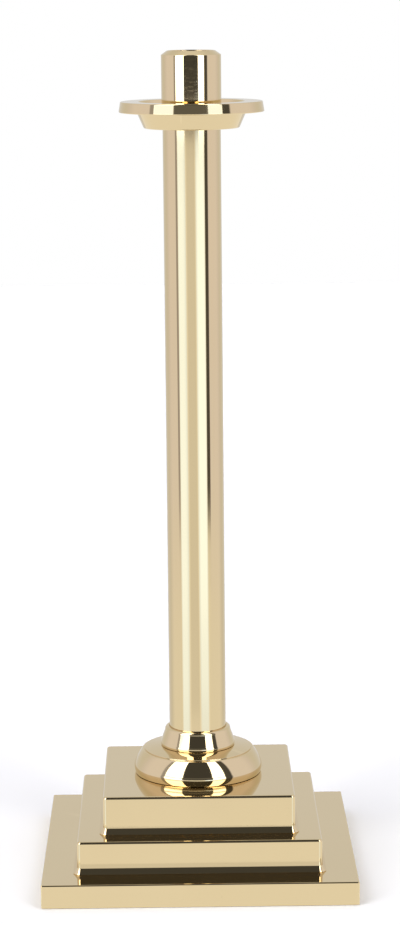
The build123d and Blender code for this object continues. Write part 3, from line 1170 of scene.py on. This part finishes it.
@dataclass
class Studio:
    """A pale floor, a soft surround with two tall light panels, and the camera.

    Each pair says where a soft step starts and ends: in degrees of bearing for side_to_back, beside_from and
    behind_from, in degrees of height for overhead_from, floor_from and beside_up, and in brightness for
    panel_start and panel_end.
    """

    sides: float = 0.95
    back: float = 0.75
    overhead: float = 0.87
    floor_glow: float = 1.0
    seen: float = 1.0
    side_tint: Colour = (0.94, 0.92, 1.04)
    panel_tint: Colour = (0.85, 1.0, 1.25)
    side_to_back: Fade = (100.0, 135.0)
    overhead_from: Fade = (45.0, 70.0)
    floor_from: Fade = (-15.0, -17.0)
    panel_start: Fade = (1.02, 1.3)
    panel_end: Fade = (1.8, 2.4)
    beside_from: Fade = (56.0, 66.0)
    beside_up: Fade = (-15.0, -9.0)
    behind_from: Fade = (112.0, 135.0)
    floor_reach: float = 4.0
    floor_drop: float = 0.02 * MM
    floor_colour: Colour = (0.93, 0.93, 0.93)
    floor_roughness: float = 0.9
    camera_place: tuple[float, float, float] = (-0.0132, -2.0567, 0.6602)
    camera_turn: float = -0.0082
    camera_dip: float = 0.1715
    camera_roll: float = -0.0098
    lens: float = 110.03
    sensor: float = 36.0
    patches: tuple[LightPatch, ...] = (
        # low front, then the glow of the left and the right panel on the floor
        LightPatch(-45.0, 40.0, -14.9, -2.6, 0.85, 5.0, 5.0, 0.3),
        LightPatch(-61.0, -31.0, -40.0, -2.6, 1.3, 4.0, 9.0, 0.5),
        LightPatch(-60.0, -31.0, -14.0, -2.6, 1.55, 4.0, 12.0, 2.5),
        LightPatch(14.0, 50.0, -40.0, -2.6, 1.2, 8.0, 6.0, 0.5),
        LightPatch(14.0, 47.0, -14.0, -2.6, 1.65, 8.0, 4.0, 2.5),
        # dark edges outside the two panels
        LightPatch(-71.0, -62.0, -11.0, 50.0, 0.45, 1.5, 1.5, 1.0),
        LightPatch(49.5, 64.0, -11.0, 62.0, 0.09, 1.5, 2.0, 0.8),
        # dark front between the panels, and the dark above
        LightPatch(-31.0, 26.5, -2.85, 95.0, 0.065, 1.2, 1.2, 0.25),
        LightPatch(-200.0, 200.0, 76.0, 95.0, 0.065, 1.0, 1.0, 3.0),
        # left and right panel
        LightPatch(-63.0, -29.5, -2.6, 75.0, 4.5, 1.0, 1.0, 0.7),
        LightPatch(26.5, 49.5, -2.6, 75.0, 4.5, 1.0, 1.0, 0.7),
        # a softer band across the front and both panels
        LightPatch(-31.0, 26.5, 7.0, 19.0, 0.15, 1.2, 1.2, 2.0),
        LightPatch(-63.0, -29.5, 7.0, 19.0, 1.6, 1.0, 1.0, 2.0),
        LightPatch(26.5, 49.5, 7.0, 19.0, 1.6, 1.0, 1.0, 2.0),
    )

    def surround(self) -> None:
        """Build the world's light."""
        world = bpy.data.worlds.new("studio")
        bpy.context.scene.world = world
        world.use_nodes = True
        tree = world.node_tree
        tree.nodes.clear()
        wires = Wires(tree)
        split = wires.add("ShaderNodeSeparateXYZ")
        wires.plug(split.inputs[0], wires.add("ShaderNodeTexCoord").outputs["Generated"])
        east, north, up = split.outputs
        degree = math.degrees(1.0)
        forward = wires.math("MULTIPLY", north, -1.0)
        bearing = wires.math("MULTIPLY", wires.math("ARCTAN2", east, forward), degree)
        height = wires.math("MULTIPLY", wires.math("ARCSINE", up), degree)
        away = wires.math("ABSOLUTE", bearing)
        light = wires.spread(wires.rise(away, *self.side_to_back), self.sides, self.back)
        light = self.over(wires, light, wires.rise(height, *self.overhead_from), self.overhead)
        light = self.over(wires, light, wires.rise(height, *self.floor_from), self.floor_glow)
        for patch in self.patches:
            mask = wires.math(
                "MULTIPLY",
                wires.window(bearing, patch.left, patch.right, patch.soft_left, patch.soft_right),
                wires.window(height, patch.bottom, patch.top, patch.soft_end, patch.soft_end),
            )
            light = self.over(wires, light, mask, patch.brightness)
        camera_ray = wires.add("ShaderNodeLightPath").outputs["Is Camera Ray"]
        panel = wires.math(
            "SUBTRACT", wires.rise(light, *self.panel_start), wires.rise(light, *self.panel_end))
        panel = wires.math("MULTIPLY", panel, wires.math("SUBTRACT", 1.0, camera_ray))
        light = self.over(wires, light, camera_ray, self.seen)
        background = wires.add("ShaderNodeBackground")
        beside = wires.math(
            "MULTIPLY", wires.rise(away, *self.beside_from), wires.rise(height, *self.beside_up))
        behind = wires.math("MAXIMUM", wires.rise(away, *self.behind_from), camera_ray)
        beside = wires.math("MULTIPLY", beside, wires.math("SUBTRACT", 1.0, behind))
        tint = wires.blend(beside, PLAIN, self.side_tint)
        wires.plug(background.inputs["Color"], wires.blend(panel, tint, self.panel_tint))
        wires.plug(background.inputs["Strength"], light)
        output = wires.add("ShaderNodeOutputWorld")
        wires.plug(output.inputs["Surface"], background.outputs[0])

    def over(self, wires: Wires, under: Number, mask: Number, brightness: float) -> bpy.types.NodeSocket:
        """Lay one brightness over another.

        Args:
            wires: the world's wires.
            under: the brightness below.
            mask: where the new one shows.
            brightness: the new one.

        Returns:
            The result's socket.
        """
        difference = wires.math("SUBTRACT", brightness, under)
        return wires.math("MULTIPLY_ADD", difference, mask, under)

    def floor(self) -> None:
        """A plain pale floor, which only lights and shades from above."""
        quarters = ((-1, -1), (1, -1), (1, 1), (-1, 1))
        reach = self.floor_reach
        corners = [Vector((x * reach, y * reach, -self.floor_drop)) for x, y in quarters]
        material, _, shader = new_material("pale_floor")
        shader.inputs["Base Color"].default_value = (*self.floor_colour, 1.0)
        shader.inputs["Roughness"].default_value = self.floor_roughness
        shader.inputs["Specular IOR Level"].default_value = 0.0
        mesh = bpy.data.meshes.new("floor")
        mesh.from_pydata(corners, [], [(0, 1, 2, 3)])
        mesh.materials.append(material)
        floor = bpy.data.objects.new("floor", mesh)
        bpy.context.scene.collection.objects.link(floor)
        floor.visible_glossy = False

    def camera(self) -> None:
        """Place the camera in front, a little above the stand."""
        data = bpy.data.cameras.new("camera")
        data.sensor_fit = "AUTO"
        data.sensor_width = self.sensor
        data.lens = self.lens
        camera = bpy.data.objects.new("camera", data)
        turn = Matrix.Rotation(self.camera_turn, 3, "Z")
        tilt = Matrix.Rotation(math.pi / 2 - self.camera_dip, 3, "X")
        roll = Matrix.Rotation(self.camera_roll, 3, "Z")
        camera.matrix_world = Matrix.Translation(self.camera_place) @ (turn @ tilt @ roll).to_4x4()
        bpy.context.scene.collection.objects.link(camera)
        bpy.context.scene.camera = camera

    def build(self) -> None:
        """Build the surround, the floor and the camera."""
        self.surround()
        self.floor()
        self.camera()
        bpy.context.scene.view_settings.view_transform = "Standard"


def main() -> None:
    """Load the frame, build every piece round it and light it."""
    logging.basicConfig(level=logging.INFO, format="%(name)s: %(message)s")
    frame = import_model()
    Studio().build()
    finishes = Finishes(SurfaceEffects())
    SteppedBase(finishes).build()
    ColumnFoot(finishes).build()
    Column(finishes).build()
    PanTop(finishes).build()
    Socket(finishes).build()
    HiddenWork(finishes).build(frame["nodes"])


if __name__ == "__main__":
    main()
